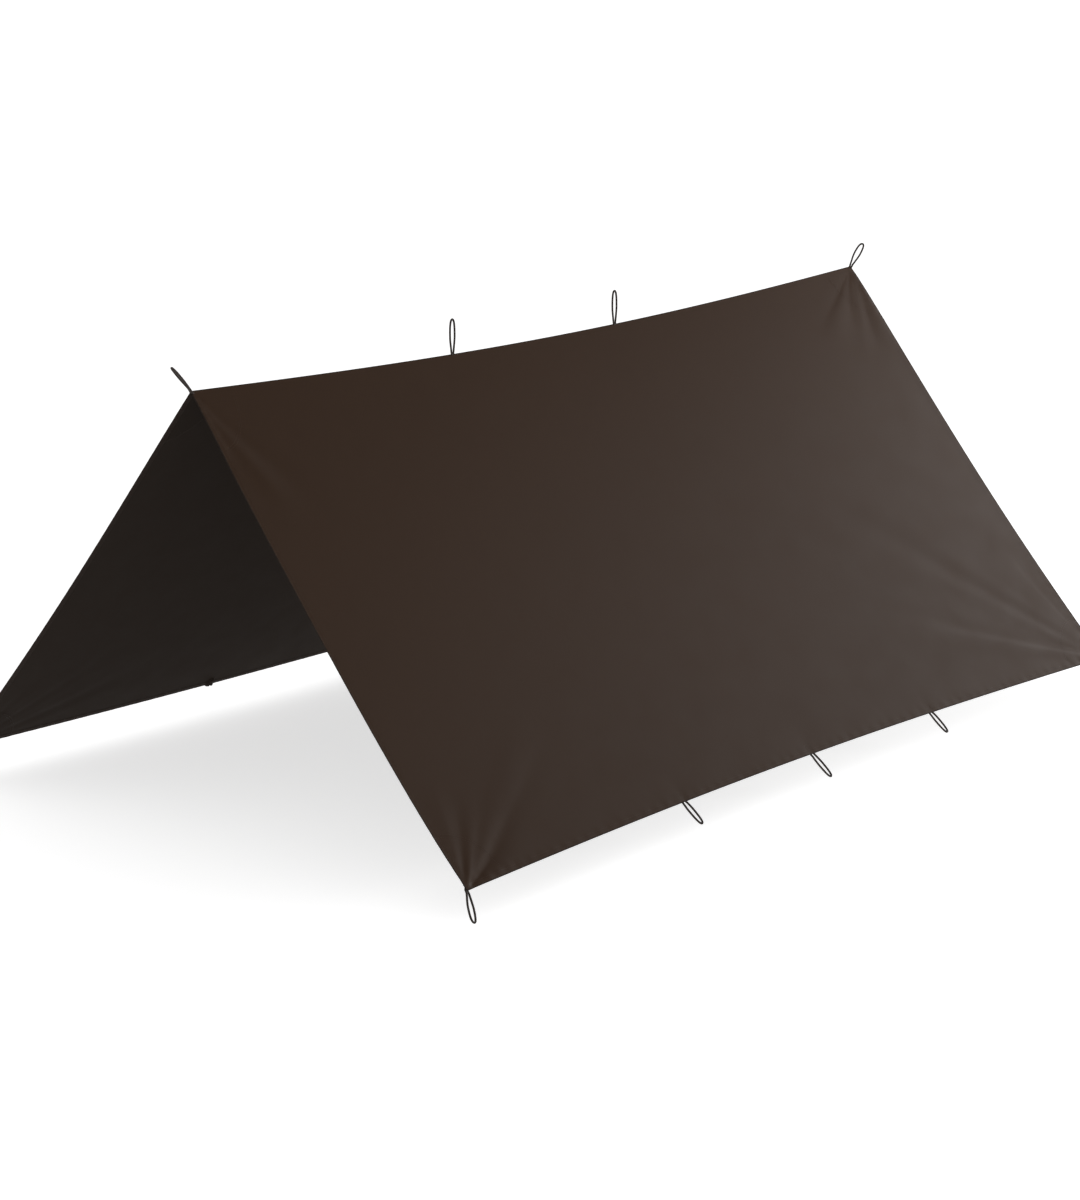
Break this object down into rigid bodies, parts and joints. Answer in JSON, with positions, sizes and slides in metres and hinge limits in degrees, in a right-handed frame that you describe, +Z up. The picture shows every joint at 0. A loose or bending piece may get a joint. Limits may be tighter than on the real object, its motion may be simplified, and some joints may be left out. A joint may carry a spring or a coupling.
{
  "type": "camping tarp",
  "caption": "Square ridge-pitched shelter tarp: two coated cloth slopes sewn at a ridge seam, hemmed edges, patched corners and braided cord tie-out loops.",
  "frame": {"origin": "middle of the straight line between the two ridge corners, where the ridge line runs", "axes": "+X along the ridge to the far end, +Z up, front slope towards -Y"},
  "size_m": [3.1819, 2.158, 1.3172],
  "materials": {
    "cloth": "matte",
    "hem": "matte",
    "patch": "matte",
    "seam_tape": "satin",
    "cord": "matte",
    "thread": "matte"
  },
  "bodies": {
    "ridge": {"ridge_fold": "cloth", "ridge_fell": "hem", "ridge_tape": "seam_tape", "ridge_tab_near": "patch", "ridge_tack_near": "thread", "ridge_tab_1": "patch", "ridge_tack_1": "thread", "ridge_tab_2": "patch", "ridge_tack_2": "thread", "ridge_tab_far": "patch", "ridge_tack_far": "thread"},
    "front_slope": {"front_panel": "cloth", "front_eave_hem": "hem", "front_gable_hem_near": "hem", "front_gable_hem_far": "hem", "front_corner_patch_near": "patch", "front_peak_patch_near": "patch", "front_tack_near": "thread", "front_corner_patch_far": "patch", "front_peak_patch_far": "patch", "front_tack_far": "thread", "front_tab_1": "patch", "front_tack_1": "thread", "front_tab_2": "patch", "front_tack_2": "thread", "front_tab_3": "patch", "front_tack_3": "thread"},
    "rear_slope": {"rear_panel": "cloth", "rear_eave_hem": "hem", "rear_gable_hem_near": "hem", "rear_gable_hem_far": "hem", "rear_corner_patch_near": "patch", "rear_peak_patch_near": "patch", "rear_tack_near": "thread", "rear_corner_patch_far": "patch", "rear_peak_patch_far": "patch", "rear_tack_far": "thread", "rear_tab_1": "patch", "rear_tack_1": "thread", "rear_tab_2": "patch", "rear_tack_2": "thread", "rear_tab_3": "patch", "rear_tack_3": "thread"},
    "ridge_loop_1": {"ridge_loop_1": "cord"},
    "ridge_loop_2": {"ridge_loop_2": "cord"},
    "ridge_loop_near": {"ridge_loop_near": "cord"},
    "ridge_loop_far": {"ridge_loop_far": "cord"},
    "front_loop_near": {"front_loop_near": "cord"},
    "front_loop_far": {"front_loop_far": "cord"},
    "front_loop_1": {"front_loop_1": "cord"},
    "front_loop_2": {"front_loop_2": "cord"},
    "front_loop_3": {"front_loop_3": "cord"},
    "rear_loop_near": {"rear_loop_near": "cord"},
    "rear_loop_far": {"rear_loop_far": "cord"},
    "rear_loop_1": {"rear_loop_1": "cord"},
    "rear_loop_2": {"rear_loop_2": "cord"},
    "rear_loop_3": {"rear_loop_3": "cord"}
  },
  "joints": [
    {"name": "front_slope_pitch", "type": "hinge", "parent": "ridge", "child": "front_slope", "pos_m": [0, 0, -0.0415], "axis": [1, 0, 0], "range_deg": [-48, 34], "deforming": ["ridge_fold"]},
    {"name": "rear_slope_pitch", "type": "hinge", "parent": "ridge", "child": "rear_slope", "pos_m": [0, 0, -0.0415], "axis": [-1, 0, 0], "range_deg": [-48, 34], "deforming": ["ridge_fold"]},
    {"name": "ridge_loop_1_swing", "type": "hinge", "parent": "ridge", "child": "ridge_loop_1", "pos_m": [-0.462, 0, -0.03284], "axis": [1, 0, 0], "range_deg": [-88, 88], "stiffness_Nm_per_rad": 0.04},
    {"name": "ridge_loop_2_swing", "type": "hinge", "parent": "ridge", "child": "ridge_loop_2", "pos_m": [0.273, 0, -0.03602], "axis": [1, 0, 0], "range_deg": [-88, 88], "stiffness_Nm_per_rad": 0.04},
    {"name": "ridge_loop_near_swing", "type": "hinge", "parent": "ridge", "child": "ridge_loop_near", "pos_m": [-1.50289, -0.00052, 0.00271], "axis": [0, 1, 0], "range_deg": [-100, 60], "stiffness_Nm_per_rad": 0.04},
    {"name": "ridge_loop_far_swing", "type": "hinge", "parent": "ridge", "child": "ridge_loop_far", "pos_m": [1.5032, 0.00059, 0.00233], "axis": [0, -1, 0], "range_deg": [-100, 60], "stiffness_Nm_per_rad": 0.04},
    {"name": "front_loop_near_swing", "type": "hinge", "parent": "front_slope", "child": "front_loop_near", "pos_m": [-1.5218, -1.0031, -1.18172], "axis": [-0.8363, 0.3521, 0.4202], "range_deg": [-105, 80], "stiffness_Nm_per_rad": 0.04},
    {"name": "front_loop_far_swing", "type": "hinge", "parent": "front_slope", "child": "front_loop_far", "pos_m": [1.5361, -1.00312, -1.18174], "axis": [-0.8377, -0.3602, -0.4105], "range_deg": [-105, 80], "stiffness_Nm_per_rad": 0.04},
    {"name": "front_loop_1_swing", "type": "hinge", "parent": "front_slope", "child": "front_loop_1", "pos_m": [-0.5632, -0.9539, -1.18146], "axis": [-0.9996, -0.0278, -0.0034], "range_deg": [-115, 85], "stiffness_Nm_per_rad": 0.04},
    {"name": "front_loop_2_swing", "type": "hinge", "parent": "front_slope", "child": "front_loop_2", "pos_m": [0.04448, -0.94596, -1.18043], "axis": [-1, 0.0018, 0.0002], "range_deg": [-115, 85], "stiffness_Nm_per_rad": 0.04},
    {"name": "front_loop_3_swing", "type": "hinge", "parent": "front_slope", "child": "front_loop_3", "pos_m": [0.6369, -0.95566, -1.18168], "axis": [-0.9995, 0.0306, 0.0036], "range_deg": [-115, 85], "stiffness_Nm_per_rad": 0.04},
    {"name": "rear_loop_near_swing", "type": "hinge", "parent": "rear_slope", "child": "rear_loop_near", "pos_m": [-1.5218, 1.0031, -1.18172], "axis": [0.8363, 0.3521, -0.4202], "range_deg": [-105, 80], "stiffness_Nm_per_rad": 0.04},
    {"name": "rear_loop_far_swing", "type": "hinge", "parent": "rear_slope", "child": "rear_loop_far", "pos_m": [1.5361, 1.00312, -1.18174], "axis": [0.8377, -0.3602, 0.4105], "range_deg": [-105, 80], "stiffness_Nm_per_rad": 0.04},
    {"name": "rear_loop_1_swing", "type": "hinge", "parent": "rear_slope", "child": "rear_loop_1", "pos_m": [-0.5632, 0.9539, -1.18146], "axis": [0.9996, -0.0278, 0.0034], "range_deg": [-183, 17], "stiffness_Nm_per_rad": 0.04},
    {"name": "rear_loop_2_swing", "type": "hinge", "parent": "rear_slope", "child": "rear_loop_2", "pos_m": [0.04448, 0.94596, -1.18043], "axis": [1, 0.0018, -0.0002], "range_deg": [-183, 17], "stiffness_Nm_per_rad": 0.04},
    {"name": "rear_loop_3_swing", "type": "hinge", "parent": "rear_slope", "child": "rear_loop_3", "pos_m": [0.6369, 0.95566, -1.18168], "axis": [0.9995, 0.0306, -0.0036], "range_deg": [-183, 17], "stiffness_Nm_per_rad": 0.04}
  ]
}
